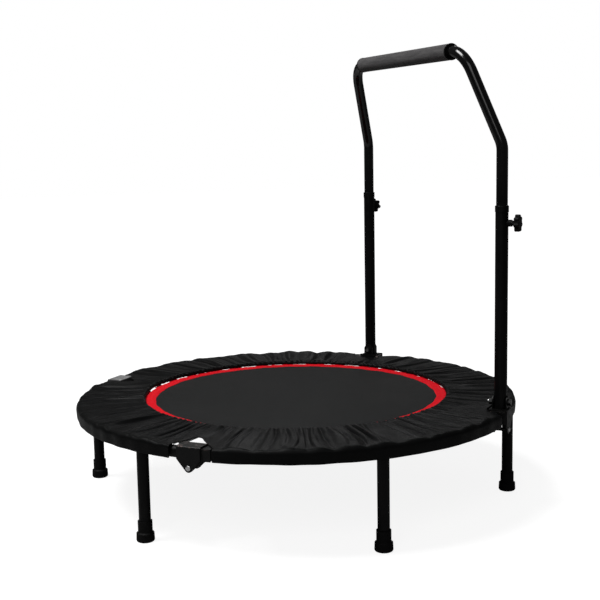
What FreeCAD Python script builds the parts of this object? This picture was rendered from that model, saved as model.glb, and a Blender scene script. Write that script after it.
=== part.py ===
import FreeCAD, Part
import math
import os

Vector = FreeCAD.Vector

# Folding mini trampoline with a height-adjustable handle, in millimetres.
# The origin is on the floor under the ring's centre, +Z is up, and the handle stands at +Y, the front.
# The ring folds in half about the line through the front left and rear right hinges.

# --- Ring and hinge places ---------------------------------------------------------------------
RING_R = 495.5            # centreline of the ring tube
TUBE_R = 12.5             # outer radius of the ring, leg and handle tubes
RING_WALL = 1.2
RING_Z = 205.0            # height of the ring's centreline
BUTT_GAP = 0.3            # each tube end stops this far short of the hinge's middle plane
HINGES = {"rear_right": 315, "front_right": 45, "front_left": 135, "rear_left": 225}
QUARTERS = {"front": 45, "left": 135, "rear": 225, "right": 315}    # azimuth where each tube starts
HALVES = {"front_half": 45, "rear_half": 225}                       # azimuth of each half's middle

# --- Hinge brackets, folded from sheet ---------------------------------------------------------
PIN_Z = 178.5             # the pins lie under the tube, so that the ring folds underside to underside
PIN_R = 4.0
PIN_CLEARANCE = 0.06
EAR_R = 9.0
OUTER_HALF_WIDTH = 18.8   # half of the outer bracket's width along the pin
OUTER_SHEET = 3.0
OUTER_FOLD_R = 4.0
OUTER_TOP_Z = 223.0
OUTER_HALF_LENGTH = 27.0
SHOULDER_Z = 196.0        # where the cheeks start to taper towards the pin
SADDLE_BOTTOM_Z = 194.5   # the outer bracket hugs its own tube above this height
FORK_START = -1.0         # the fork for the inner bracket begins here along the tube
INNER_HALF_WIDTH = 15.3
INNER_SHEET = 2.5
INNER_TOP_Z = 219.5
INNER_BOTTOM_Z = 194.0
INNER_START = 1.5         # the inner bracket's top begins here along the tube
INNER_NOSE_Z = 190.5      # where its nose meets the rounded ear
INNER_FLAT_END = 30.0     # the inner bracket is straight up to here, and then follows the ring
INNER_END = 46.0
INNER_OVERLAP = 2.0       # the straight and curved lengths share this much
HEAD_R = 5.5
HEAD_HEIGHT = 2.4
HEAD_ROUND_R = 1.8

# --- Legs and feet -----------------------------------------------------------------------------
LEGS = {"right": 0, "front_right": 60, "front_left": 120, "left": 180, "rear_left": 240, "rear_right": 300}
LEG_WALL = 1.2
LEG_BOTTOM_Z = 6.0
LEG_TOP_Z = 192.3
STUD_R = 6.0
STUD_CLEARANCE = 0.05
PLUG_R = 11.0
PLUG_BOTTOM_Z = 168.0
STUD_BOTTOM_Z = 146.0
LEG_NUT_Z = (150.0, 164.0)
FOOT_R = 19.25
FOOT_SLEEVE_R = 15.25
FOOT_HEIGHT = 44.0
FOOT_BELL_Z = 21.0
FOOT_ROUND_R = 4.5
FOOT_TAPER = 0.6          # the bell is this much narrower at its top
FOOT_SLOPE = 2.5          # height of the slope between bell and sleeve

# --- Mat, springs and cover --------------------------------------------------------------------
MAT_Z = 217.2             # middle of the mat's thickness
MAT_R = 330.0
MAT_THICKNESS = 1.2
BAND_R = 358.0
BAND_THICKNESS = 2.4
HALF_GAP = 0.4            # mat, band and cover halves stop this far short of the fold line
SPRINGS_PER_HALF = 16
SPRING_COIL_R = (3.0, 4.6)
SPRING_COIL_X = (388.0, 468.0)
SPRING_HOOK_X = (378.2, 490.5)      # the outer hook turns down here, into a hole in the ring's top
SPRING_HOOK_DEPTH = 5.5
SPRING_HOOK_R = 0.7
SPRING_HOOK_OVERLAP = 4.0 # each hook's wire runs this far into the coils
HOOK_HOLE_R = 2.5
RING_BASE_X = 359.6       # V ring: its straight bar lies along the band, its point takes the spring
RING_POINT_X = 375.6
RING_HALF_WIDTH = 14.0
RING_WIRE_R = 1.5
COVER_INNER_R = 360.0
COVER_OUTER_R = 520.0
COVER_TOP_Z = 225.6
COVER_INNER_Z = 224.0
COVER_BOTTOM_Z = 195.0
COVER_THICKNESS = 3.0
COVER_SHOULDER_R = 507.0  # the top turns down into the skirt from here
COVER_BULGE_Z = 211.0     # height where the cover is widest
COVER_SKIRT_R = 511.0     # outside of the skirt's bottom edge
NOTCH_INNER_R = 440.0     # the cover is cut away over each hinge in an arch
NOTCH_CW = 45.5
NOTCH_CCW = 50.0
NOTCH_MIDDLE = 7.0        # half of the arch's flat crown
NOTCH_SHOULDER_R = 503.5  # the arch's sides run straight outward from here

# --- Handle posts and their brackets -----------------------------------------------------------
POSTS = {"right": 45, "left": 135}
POST_R = 14.0
POST_BORE_R = 12.6
POST_Z = (226.2, 668.0)
BRACKET_SHEET = 2.6
BRACKET_INNER_X = -26.0
BRACKET_HALF_LENGTH = 20.0
LUG_X = 14.3              # the two upright lugs stand this far from the post's axis
LUG_TOP_Z = 254.0
LUG_HALF_WIDTH = 12.0
LIP_HEIGHT = 6.2
SIDE_PLATE_X = 19.1
SIDE_PLATE = ((-27.0, 187.0), (21.0, 198.0))
BOLT_Z = 240.0
BOLT_R = 4.0
BOLT_HOLE_R = 4.3
HEX_ACROSS_FLATS = 13.0
BOLT_HEAD_HEIGHT = 5.3
NUT_HEIGHT = 6.5
WASHER_R = 8.0
WASHER_THICKNESS = 1.6
BOLT_TIP_X = -28.0
BUSH_R = 14.9
BUSH_Z = (657.0, 670.5)
BUSH_ROUND_R = 1.0

# --- Upper handle ------------------------------------------------------------------------------
HANDLE_WALL = 1.5
HANDLE_BOTTOM_Z = 508.0
HANDLE_BEND_Z = 800.0
HANDLE_BEND_R = 60.0
HANDLE_CORNER = (289.4, 288.1, 1001.6)
HANDLE_CORNER_R = 66.0
GRIP_R = 18.0
GRIP_HALF_LENGTH = 236.0
GRIP_RING_LENGTH = 3.2
GRIP_RING_R = 18.5
GRIP_ROUND_R = 2.0
GRIP_RING_ROUND_R = 1.0
HOLE_PITCH = 50.0
HOLE_R = 4.2
HOLES_BELOW = 2           # adjusting holes under and over the one at the knob
HOLES_ABOVE = 2

# --- Knob screws -------------------------------------------------------------------------------
KNOB_Z = 633.0
BOSS_R = 7.5
BOSS_X = (12.0, 22.5)
BOSS_BORE_R = 4.02
SCREW_R = 3.95
SCREW_X = (15.0, 37.0)
TIP_R = 3.0
TIP_X = (12.65, 14.95)
KNOB_NECK_R = 5.6
KNOB_X = (23.4, 29.0, 41.0)         # neck, back face and front face
KNOB_CORE_R = 15.0
KNOB_LOBES = 7
KNOB_LOBE_R = 4.7
KNOB_LOBE_CENTRE_R = 14.3
KNOB_ROUND_R = 2.2
KNOB_NECK_OVERLAP = 1.0

X_AXIS = Vector(1, 0, 0)
Y_AXIS = Vector(0, 1, 0)
Z_AXIS = Vector(0, 0, 1)
CENTRE = Vector(0, 0, 0)
BEYOND = 10.0             # how far a cutting tool runs past what it cuts
TOLERANCE = 0.01          # for picking edges by where they lie


def turned(shape, azimuth):
    """A copy turned about the ring's centre: pieces are modelled at azimuth 0, with +X outward."""
    copy = shape.copy()
    copy.rotate(CENTRE, Z_AXIS, azimuth)
    return copy


def box(x, y, z):
    """A box from three (low, high) pairs."""
    return Part.makeBox(x[1] - x[0], y[1] - y[0], z[1] - z[0], Vector(x[0], y[0], z[0]))


def rod(radius, start, end):
    """A round bar from one point to another."""
    return Part.makeCylinder(radius, (end - start).Length, start, end - start)


def tube(outer, inner, start, end):
    """A round tube from one point to another."""
    return rod(outer, start, end).cut(rod(inner, start, end))


def radial_rod(radius, x_low, x_high, z):
    """A round bar pointing outward in the XZ plane."""
    return rod(radius, Vector(x_low, 0, z), Vector(x_high, 0, z))


def radial_tube(outer, inner, x_low, x_high, z):
    return radial_rod(outer, x_low, x_high, z).cut(radial_rod(inner, x_low, x_high, z))


def ring_band(inner, outer, z_low, z_high, angle=360.0):
    """A flat ring, or a sector of one that starts at azimuth 0."""
    height = z_high - z_low
    base = Vector(0, 0, z_low)
    solid = Part.makeCylinder(outer, height, base, Z_AXIS, angle)
    return solid.cut(Part.makeCylinder(inner, height, base, Z_AXIS, angle))


def ring_solid(radius):
    """The full round ring that follows the tube's centreline."""
    return Part.makeTorus(RING_R, radius, Vector(0, 0, RING_Z), Z_AXIS)


def tangent_point(point, centre, radius, side):
    """Where the line from a point touches a circle; side +1 or -1 picks one of the two."""
    dy = point[0] - centre[0]
    dz = point[1] - centre[1]
    distance = math.hypot(dy, dz)
    angle = math.atan2(dz, dy) + side * math.acos(radius / distance)
    return (centre[0] + radius * math.cos(angle), centre[1] + radius * math.sin(angle))


def eared_plate(corners, x_low, x_high):
    """A plate in the YZ plane whose last two sides run round the pin: corners go from the side that
    meets the ear on the right, over the top, to the side that meets it on the left."""
    pin = (0.0, PIN_Z)
    right = tangent_point(corners[0], pin, EAR_R, -1)
    left = tangent_point(corners[-1], pin, EAR_R, 1)
    outline = [Vector(x_low, y, z) for y, z in [right] + corners + [left]]
    edges = [Part.makeLine(a, b) for a, b in zip(outline, outline[1:])]
    bottom = Vector(x_low, 0, PIN_Z - EAR_R)
    edges.append(Part.Arc(outline[-1], bottom, outline[0]).toShape())
    return Part.Face(Part.Wire(edges)).extrude(Vector(x_high - x_low, 0, 0))


def edges_along_y(solid, z, reach):
    """The long straight edges at one height, where a sheet is folded."""
    found = []
    for edge in solid.Edges:
        ends = edge.BoundBox
        flat = ends.ZLength < TOLERANCE and ends.XLength < TOLERANCE and ends.YLength > reach
        if flat and abs(ends.ZMin - z) < TOLERANCE:
            found.append(edge)
    return found


def end_rims(solid):
    """The edges that lie in planes across X: the rims of a bar that points outward."""
    return [edge for edge in solid.Edges if edge.BoundBox.XLength < TOLERANCE]


def frame_arc():
    """A quarter of the ring: a bent tube with holes for the spring hooks along its top."""
    gap = math.degrees(BUTT_GAP / RING_R)
    middle = Vector(RING_R, 0, RING_Z)
    rims = [Part.Wire(Part.makeCircle(r, middle, Y_AXIS)) for r in (TUBE_R, TUBE_R - RING_WALL)]
    solids = [Part.Face(rim).revolve(CENTRE, Z_AXIS, 90 - 2 * gap) for rim in rims]
    arc = turned(solids[0].cut(solids[1]), gap)
    count = SPRINGS_PER_HALF // 2
    hook_x = SPRING_HOOK_X[1]
    hollow_z = RING_Z + TUBE_R / 4
    hole = rod(HOOK_HOLE_R, Vector(hook_x, 0, hollow_z), Vector(hook_x, 0, RING_Z + 2 * TUBE_R))
    for k in range(count):
        arc = arc.cut(turned(hole, (k + 0.5) * 90.0 / count))
    return arc


def hinge_outer():
    """The channel that is welded to the clockwise tube and takes the inner bracket in its fork."""
    half = OUTER_HALF_LENGTH
    corners = [(half, SHOULDER_Z), (half, OUTER_TOP_Z), (-half, OUTER_TOP_Z), (-half, SHOULDER_Z)]
    x_low = RING_R - OUTER_HALF_WIDTH
    x_high = RING_R + OUTER_HALF_WIDTH
    body = eared_plate(corners, x_low, x_high)
    body = body.makeFillet(OUTER_FOLD_R, edges_along_y(body, OUTER_TOP_Z, half))
    inside = (x_low + OUTER_SHEET, x_high - OUTER_SHEET)
    under = box(inside, (-half - BEYOND, half + BEYOND), (PIN_Z - 2 * EAR_R, SADDLE_BOTTOM_Z))
    fork = box(inside, (FORK_START, half + BEYOND), (PIN_Z, OUTER_TOP_Z - OUTER_SHEET))
    hole = radial_rod(PIN_R, x_low - BEYOND, x_high + BEYOND, PIN_Z)
    return body.cut(under).cut(fork).cut(ring_solid(TUBE_R)).cut(hole)


def hinge_inner():
    """The narrower channel that is welded to the anticlockwise tube and turns on the pin."""
    corners = [(INNER_FLAT_END, INNER_BOTTOM_Z), (INNER_FLAT_END, INNER_TOP_Z)]
    corners += [(INNER_START, INNER_TOP_Z), (INNER_START, INNER_NOSE_Z)]
    x_low = RING_R - INNER_HALF_WIDTH
    x_high = RING_R + INNER_HALF_WIDTH
    flat = eared_plate(corners, x_low, x_high)
    from_angle = math.degrees(math.asin((INNER_FLAT_END - INNER_OVERLAP) / RING_R))
    to_angle = math.degrees(math.asin(INNER_END / RING_R))
    curved = ring_band(x_low, x_high, INNER_BOTTOM_Z, INNER_TOP_Z, to_angle - from_angle)
    body = flat.fuse(turned(curved, from_angle)).removeSplitter()
    inside = (x_low + INNER_SHEET, x_high - INNER_SHEET)
    straight = box(inside, (-2 * EAR_R, INNER_FLAT_END), (PIN_Z - 2 * EAR_R, RING_Z))
    bent = ring_band(inside[0], inside[1], INNER_BOTTOM_Z - BEYOND, RING_Z, to_angle)
    hole = radial_rod(PIN_R + PIN_CLEARANCE, x_low - BEYOND, x_high + BEYOND, PIN_Z)
    return body.cut(straight).cut(bent).cut(ring_solid(TUBE_R)).cut(hole)


def hinge_pin():
    """A rivet along the fold line, with a rounded head on each cheek."""
    x_low = RING_R - OUTER_HALF_WIDTH
    x_high = RING_R + OUTER_HALF_WIDTH
    pin = radial_rod(PIN_R, x_low, x_high, PIN_Z)
    for x, end in ((x_low, x_low - HEAD_HEIGHT), (x_high, x_high + HEAD_HEIGHT)):
        head = radial_rod(HEAD_R, x, end, PIN_Z)
        rim = [e for e in end_rims(head) if abs(e.BoundBox.XMin - end) < TOLERANCE]
        pin = pin.fuse(head.makeFillet(HEAD_ROUND_R, rim))
    return pin.removeSplitter()


def leg():
    bottom = Vector(RING_R, 0, LEG_BOTTOM_Z)
    top = Vector(RING_R, 0, LEG_TOP_Z)
    return tube(TUBE_R, TUBE_R - LEG_WALL, bottom, top)


def leg_stud():
    """The plug welded under the ring, with the thread that a leg screws onto."""
    plug = rod(PLUG_R, Vector(RING_R, 0, PLUG_BOTTOM_Z), Vector(RING_R, 0, RING_Z))
    stud = rod(STUD_R, Vector(RING_R, 0, STUD_BOTTOM_Z), Vector(RING_R, 0, PLUG_BOTTOM_Z))
    return plug.fuse(stud).cut(ring_solid(TUBE_R)).removeSplitter()


def leg_nut():
    """The threaded insert fixed inside the top of a leg."""
    low, high = LEG_NUT_Z
    return tube(TUBE_R - LEG_WALL, STUD_R + STUD_CLEARANCE, Vector(RING_R, 0, low), Vector(RING_R, 0, high))


def foot():
    """A rubber cap: a sleeve round the leg that widens to a bell with a rounded bottom edge."""
    bottom_r = FOOT_R - FOOT_ROUND_R
    bell_r = FOOT_R - FOOT_TAPER
    slope_z = FOOT_BELL_Z - FOOT_SLOPE
    eighth = math.sqrt(0.5)
    low = Vector(bottom_r + FOOT_ROUND_R * eighth, 0, FOOT_ROUND_R * (1 - eighth))
    outline = [
        Part.makeLine(Vector(0, 0, 0), Vector(bottom_r, 0, 0)),
        Part.Arc(Vector(bottom_r, 0, 0), low, Vector(FOOT_R, 0, FOOT_ROUND_R)).toShape(),
        Part.makeLine(Vector(FOOT_R, 0, FOOT_ROUND_R), Vector(bell_r, 0, slope_z)),
        Part.makeLine(Vector(bell_r, 0, slope_z), Vector(FOOT_SLEEVE_R, 0, FOOT_BELL_Z)),
        Part.makeLine(Vector(FOOT_SLEEVE_R, 0, FOOT_BELL_Z), Vector(FOOT_SLEEVE_R, 0, FOOT_HEIGHT)),
        Part.makeLine(Vector(FOOT_SLEEVE_R, 0, FOOT_HEIGHT), Vector(TUBE_R, 0, FOOT_HEIGHT)),
        Part.makeLine(Vector(TUBE_R, 0, FOOT_HEIGHT), Vector(TUBE_R, 0, LEG_BOTTOM_Z)),
        Part.makeLine(Vector(TUBE_R, 0, LEG_BOTTOM_Z), Vector(0, 0, LEG_BOTTOM_Z)),
        Part.makeLine(Vector(0, 0, LEG_BOTTOM_Z), Vector(0, 0, 0)),
    ]
    cap = Part.Face(Part.Wire(outline)).revolve(CENTRE, Z_AXIS, 360)
    cap.translate(Vector(RING_R, 0, 0))
    return cap


def half_of(solid):
    """The +X half of a ring-shaped solid, stopping just short of the fold line."""
    reach = COVER_OUTER_R + BEYOND
    return solid.common(box((HALF_GAP, reach), (-reach, reach), (0, COVER_TOP_Z + BEYOND)))


def mat_half():
    low = MAT_Z - MAT_THICKNESS / 2
    return half_of(Part.makeCylinder(MAT_R, MAT_THICKNESS, Vector(0, 0, low), Z_AXIS))


def band_half():
    return half_of(ring_band(MAT_R, BAND_R, MAT_Z - BAND_THICKNESS / 2, MAT_Z + BAND_THICKNESS / 2))


def cover_notch():
    """The arch cut out of the cover over a hinge, seen from above."""
    beyond = COVER_OUTER_R + BEYOND
    points = [
        (beyond, -NOTCH_CW), (NOTCH_SHOULDER_R, -NOTCH_CW), (NOTCH_INNER_R, -NOTCH_MIDDLE),
        (NOTCH_INNER_R, NOTCH_MIDDLE), (NOTCH_SHOULDER_R, NOTCH_CCW), (beyond, NOTCH_CCW),
        (beyond, -NOTCH_CW),
    ]
    face = Part.Face(Part.makePolygon([Vector(x, y, 0) for x, y in points]))
    return face.extrude(Vector(0, 0, COVER_TOP_Z + BEYOND))


def cover_roll(thickness_in):
    """The cover's turn from top to skirt, as an arc this far inside its outer face."""
    width = COVER_OUTER_R - thickness_in - COVER_SHOULDER_R
    height = COVER_TOP_Z - thickness_in - COVER_BULGE_Z
    eighth = math.sqrt(0.5)
    top = Vector(COVER_SHOULDER_R, 0, COVER_BULGE_Z + height)
    middle = Vector(COVER_SHOULDER_R + width * eighth, 0, COVER_BULGE_Z + height * eighth)
    side = Vector(COVER_SHOULDER_R + width, 0, COVER_BULGE_Z)
    return top, middle, side


def cover_half():
    """Half of the padded cover: a flat top over the springs and a skirt outside the ring."""
    top, middle, side = cover_roll(0.0)
    inner_top, inner_middle, inner_side = cover_roll(COVER_THICKNESS)
    hem = Vector(COVER_INNER_R, 0, COVER_INNER_Z)
    inner_hem = Vector(COVER_INNER_R, 0, COVER_INNER_Z - COVER_THICKNESS)
    skirt = Vector(COVER_SKIRT_R, 0, COVER_BOTTOM_Z)
    inner_skirt = Vector(COVER_SKIRT_R - COVER_THICKNESS, 0, COVER_BOTTOM_Z)
    outline = [
        Part.makeLine(hem, top),
        Part.Arc(top, middle, side).toShape(),
        Part.makeLine(side, skirt),
        Part.makeLine(skirt, inner_skirt),
        Part.makeLine(inner_skirt, inner_side),
        Part.Arc(inner_side, inner_middle, inner_top).toShape(),
        Part.makeLine(inner_top, inner_hem),
        Part.makeLine(inner_hem, hem),
    ]
    cover = half_of(Part.Face(Part.Wire(outline)).revolve(CENTRE, Z_AXIS, 360))
    for azimuth in (-90, 0, 90):
        cover = cover.cut(turned(cover_notch(), azimuth))
    return cover


def spring():
    """A tension spring as the tube that its coils fill, with a plain wire for each hook."""
    inner, outer = SPRING_COIL_R
    coil_z = MAT_Z - (inner + outer) / 2
    hook_ends = (SPRING_COIL_X[0] + SPRING_HOOK_OVERLAP, SPRING_COIL_X[1] - SPRING_HOOK_OVERLAP)
    coil = radial_tube(outer, inner, SPRING_COIL_X[0], SPRING_COIL_X[1], coil_z)
    for start, end in zip(SPRING_HOOK_X, hook_ends):
        coil = coil.fuse(radial_rod(SPRING_HOOK_R, start, end, MAT_Z))
    corner = Vector(SPRING_HOOK_X[1], 0, MAT_Z)
    tip = Vector(SPRING_HOOK_X[1], 0, MAT_Z - SPRING_HOOK_DEPTH)
    coil = coil.fuse(Part.makeSphere(SPRING_HOOK_R, corner)).fuse(rod(SPRING_HOOK_R, tip, corner))
    return coil.removeSplitter()


def v_ring():
    """A closed triangle of wire: the bar lies in the band's loop and the point holds the spring."""
    corners = [Vector(RING_BASE_X, -RING_HALF_WIDTH, MAT_Z), Vector(RING_BASE_X, RING_HALF_WIDTH, MAT_Z)]
    corners.append(Vector(RING_POINT_X, 0, MAT_Z))
    ring = Part.makeSphere(RING_WIRE_R, corners[0])
    for corner in corners[1:]:
        ring = ring.fuse(Part.makeSphere(RING_WIRE_R, corner))
    for a, b in zip(corners, corners[1:] + corners[:1]):
        ring = ring.fuse(rod(RING_WIRE_R, a, b))
    return ring.removeSplitter()


def post():
    """A lower handle post with the bolt's cross hole and the hole for the knob screw."""
    body = tube(POST_R, POST_BORE_R, Vector(RING_R, 0, POST_Z[0]), Vector(RING_R, 0, POST_Z[1]))
    body = body.cut(radial_rod(BOLT_HOLE_R, RING_R - 2 * POST_R, RING_R + 2 * POST_R, BOLT_Z))
    return body.cut(radial_rod(BOLT_HOLE_R, RING_R, RING_R + 2 * POST_R, KNOB_Z))


def post_bracket():
    """The bent plate on a hinge's top: two lugs clasp the post, and a side plate hangs outside."""
    t = BRACKET_SHEET
    length = (-BRACKET_HALF_LENGTH, BRACKET_HALF_LENGTH)
    side_x = RING_R + SIDE_PLATE_X
    bracket = box((RING_R + BRACKET_INNER_X, side_x + t), length, (OUTER_TOP_Z, OUTER_TOP_Z + t))
    for x in (RING_R - LUG_X - t, RING_R + LUG_X):
        straight_top = LUG_TOP_Z - LUG_HALF_WIDTH
        lug = box((x, x + t), (-LUG_HALF_WIDTH, LUG_HALF_WIDTH), (OUTER_TOP_Z, straight_top))
        bracket = bracket.fuse(lug).fuse(radial_rod(LUG_HALF_WIDTH, x, x + t, straight_top))
    (cw_y, cw_z), (ccw_y, ccw_z) = SIDE_PLATE
    top = OUTER_TOP_Z + t
    corners = [(cw_y, cw_z), (ccw_y, ccw_z), (ccw_y, top), (cw_y, top), (cw_y, cw_z)]
    plate = Part.Face(Part.makePolygon([Vector(side_x, y, z) for y, z in corners]))
    bracket = bracket.fuse(plate.extrude(Vector(t, 0, 0)))
    lip_x = RING_R + BRACKET_INNER_X
    bracket = bracket.fuse(box((lip_x, lip_x + t), length, (OUTER_TOP_Z, OUTER_TOP_Z + LIP_HEIGHT)))
    hole = radial_rod(BOLT_HOLE_R, RING_R - 3 * POST_R, RING_R + 3 * POST_R, BOLT_Z)
    return bracket.cut(hole).removeSplitter()


def hexagon(x_low, x_high, z):
    """A hexagonal bar pointing outward, for bolt heads and nuts."""
    corner_r = HEX_ACROSS_FLATS / math.sqrt(3)
    turns = [math.radians(60 * k) for k in range(7)]
    points = [Vector(x_low, corner_r * math.cos(a), z + corner_r * math.sin(a)) for a in turns]
    return Part.Face(Part.makePolygon(points)).extrude(Vector(x_high - x_low, 0, 0))


def post_bolt():
    seat = RING_R + LUG_X + BRACKET_SHEET + WASHER_THICKNESS
    head = hexagon(seat, seat + BOLT_HEAD_HEIGHT, BOLT_Z)
    return head.fuse(radial_rod(BOLT_R, RING_R + BOLT_TIP_X, seat, BOLT_Z)).removeSplitter()


def post_nut():
    seat = RING_R - LUG_X - BRACKET_SHEET - WASHER_THICKNESS
    nut = hexagon(seat - NUT_HEIGHT, seat, BOLT_Z)
    return nut.cut(radial_rod(BOLT_R, seat - 2 * NUT_HEIGHT, seat + NUT_HEIGHT, BOLT_Z))


def post_washers():
    """The two washers of one post bolt, under its head and its nut."""
    near = LUG_X + BRACKET_SHEET
    spans = [(near, near + WASHER_THICKNESS), (-near - WASHER_THICKNESS, -near)]
    return [radial_tube(WASHER_R, BOLT_HOLE_R, RING_R + a, RING_R + b, BOLT_Z) for a, b in spans]


def post_bush():
    """The plastic collar on a post's top, which guides the upper tube."""
    low, high = BUSH_Z
    collar = rod(BUSH_R, Vector(RING_R, 0, low), Vector(RING_R, 0, high))
    top_rim = [e for e in collar.Edges if e.BoundBox.ZMin > high - TOLERANCE]
    collar = collar.makeFillet(BUSH_ROUND_R, top_rim)
    collar = collar.cut(rod(POST_R, Vector(RING_R, 0, low), Vector(RING_R, 0, POST_Z[1])))
    return collar.cut(rod(POST_BORE_R, Vector(RING_R, 0, low), Vector(RING_R, 0, high)))


def knob_boss():
    """The threaded boss welded to a post's outer side."""
    boss = radial_tube(BOSS_R, BOSS_BORE_R, RING_R + BOSS_X[0], RING_R + BOSS_X[1], KNOB_Z)
    low = Vector(RING_R, 0, KNOB_Z - 2 * BOSS_R)
    high = Vector(RING_R, 0, KNOB_Z + 2 * BOSS_R)
    return boss.cut(rod(POST_R, low, high))


def knob_screw():
    return radial_rod(SCREW_R, RING_R + SCREW_X[0], RING_R + SCREW_X[1], KNOB_Z)


def knob_tip():
    return radial_rod(TIP_R, RING_R + TIP_X[0], RING_R + TIP_X[1], KNOB_Z)


def knob():
    """A lobed hand knob moulded round the screw."""
    neck_x, back_x, front_x = (RING_R + x for x in KNOB_X)
    head = radial_rod(KNOB_CORE_R, back_x, front_x, KNOB_Z)
    for k in range(KNOB_LOBES):
        lobe = radial_rod(KNOB_LOBE_R, back_x, front_x, KNOB_Z + KNOB_LOBE_CENTRE_R)
        lobe.rotate(Vector(0, 0, KNOB_Z), X_AXIS, k * 360.0 / KNOB_LOBES)
        head = head.fuse(lobe)
    head = head.removeSplitter()
    head = head.makeFillet(KNOB_ROUND_R, end_rims(head))
    body = head.fuse(radial_rod(KNOB_NECK_R, neck_x, back_x + KNOB_NECK_OVERLAP, KNOB_Z))
    return body.cut(knob_screw()).removeSplitter()


def handle_path():
    """The bent tube's centreline: two bends and two corners, each an arc between straight runs."""
    post_x = RING_R / math.sqrt(2)
    side = [Vector(post_x, post_x, HANDLE_BOTTOM_Z), Vector(post_x, post_x, HANDLE_BEND_Z)]
    side.append(Vector(*HANDLE_CORNER))
    points = side + [Vector(-p.x, p.y, p.z) for p in reversed(side)]
    radii = [HANDLE_BEND_R, HANDLE_CORNER_R, HANDLE_CORNER_R, HANDLE_BEND_R]
    edges = []
    start = points[0]
    for before, corner, after, radius in zip(points, points[1:], points[2:], radii):
        into = (corner - before).normalize()
        out = (after - corner).normalize()
        turn = into.getAngle(out)
        reach = radius * math.tan(turn / 2)
        first = corner - into * reach
        last = corner + out * reach
        inward = (out - into).normalize()
        middle = corner + inward * (radius / math.cos(turn / 2) - radius)
        edges.append(Part.makeLine(start, first))
        edges.append(Part.Arc(first, middle, last).toShape())
        start = last
    edges.append(Part.makeLine(start, points[-1]))
    return Part.Wire(edges)


def handle_tube():
    """The upper handle with its adjusting holes facing outward on both sides."""
    path = handle_path()
    start = path.Vertexes[0].Point
    pipes = []
    for radius in (TUBE_R, TUBE_R - HANDLE_WALL):
        rim = Part.Wire(Part.makeCircle(radius, start, Z_AXIS))
        pipes.append(path.makePipeShell([rim], True, False))
    handle = pipes[0].cut(pipes[1])
    for azimuth in POSTS.values():
        for k in range(-HOLES_BELOW, HOLES_ABOVE + 1):
            hole = radial_rod(HOLE_R, RING_R, RING_R + 2 * TUBE_R, KNOB_Z + k * HOLE_PITCH)
            handle = handle.cut(turned(hole, azimuth))
    return handle


def grip_sleeve(x_low, x_high, radius, round_r):
    """A sleeve on the handle's crossbar with rounded rims."""
    _, y, z = HANDLE_CORNER
    sleeve = rod(radius, Vector(x_low, y, z), Vector(x_high, y, z))
    sleeve = sleeve.makeFillet(round_r, end_rims(sleeve))
    return sleeve.cut(rod(TUBE_R, Vector(x_low, y, z), Vector(x_high, y, z)))


def at_azimuths(shape, azimuths):
    """One group of separate solids, a copy at each azimuth."""
    return Part.makeCompound([turned(shape, azimuth) for azimuth in azimuths])


def save(name, shape):
    shape.exportStep("parts/" + name + ".step")
    print(f"{name:26s} valid {shape.isValid()}  {len(shape.Solids):3d} solids  {shape.Volume:12.1f} mm3")


def make_ring():
    arc = frame_arc()
    for name, azimuth in QUARTERS.items():
        save("frame_arc_" + name, turned(arc, azimuth))
    outer = hinge_outer()
    inner = hinge_inner()
    for name, azimuth in HINGES.items():
        save("hinge_outer_" + name, turned(outer, azimuth))
        save("hinge_inner_" + name, turned(inner, azimuth))
    # Each pin is fixed in the outer bracket, which belongs to the half on its clockwise side.
    for name, azimuth in HALVES.items():
        save("hinge_pins_" + name, at_azimuths(hinge_pin(), (azimuth, azimuth + 90)))


def make_legs():
    for name, azimuth in LEGS.items():
        save("leg_" + name, turned(leg(), azimuth))
        save("foot_" + name, turned(foot(), azimuth))
    for name, azimuth in HALVES.items():
        places = [a for a in LEGS.values() if abs((a - azimuth + 180) % 360 - 180) < 90]
        save("leg_studs_" + name, at_azimuths(leg_stud(), places))
        save("leg_nuts_" + name, at_azimuths(leg_nut(), places))


def make_mat_and_cover():
    step = 180.0 / SPRINGS_PER_HALF
    places = [(k + 0.5) * step - 90 for k in range(SPRINGS_PER_HALF)]
    groups = {
        "mat_": mat_half(),
        "mat_band_": band_half(),
        "cover_": cover_half(),
        "springs_": at_azimuths(spring(), places),
        "v_rings_": at_azimuths(v_ring(), places),
    }
    for prefix, shape in groups.items():
        for name, azimuth in HALVES.items():
            save(prefix + name, turned(shape, azimuth))


def make_handle():
    both = POSTS.values()
    for name, azimuth in POSTS.items():
        save("post_" + name, turned(post(), azimuth))
        save("post_bracket_" + name, turned(post_bracket(), azimuth))
        save("knob_" + name, turned(knob(), azimuth))
        save("knob_screw_" + name, turned(knob_screw(), azimuth))
        save("knob_tip_" + name, turned(knob_tip(), azimuth))
    save("post_bolts", at_azimuths(post_bolt(), both))
    save("post_nuts", at_azimuths(post_nut(), both))
    save("post_washers", at_azimuths(Part.makeCompound(post_washers()), both))
    save("post_bushes", at_azimuths(post_bush(), both))
    save("knob_bosses", at_azimuths(knob_boss(), both))
    save("handle_tube", handle_tube())
    save("handle_grip", grip_sleeve(-GRIP_HALF_LENGTH, GRIP_HALF_LENGTH, GRIP_R, GRIP_ROUND_R))
    ends = [(GRIP_HALF_LENGTH, GRIP_HALF_LENGTH + GRIP_RING_LENGTH)]
    ends.append((-GRIP_HALF_LENGTH - GRIP_RING_LENGTH, -GRIP_HALF_LENGTH))
    rings = [grip_sleeve(a, b, GRIP_RING_R, GRIP_RING_ROUND_R) for a, b in ends]
    save("grip_end_rings", Part.makeCompound(rings))


os.makedirs("parts", exist_ok=True)
make_ring()
make_legs()
make_mat_and_cover()
make_handle()
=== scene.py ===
import math

import bpy
import numpy as np
from mathutils import Matrix, Vector


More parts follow.
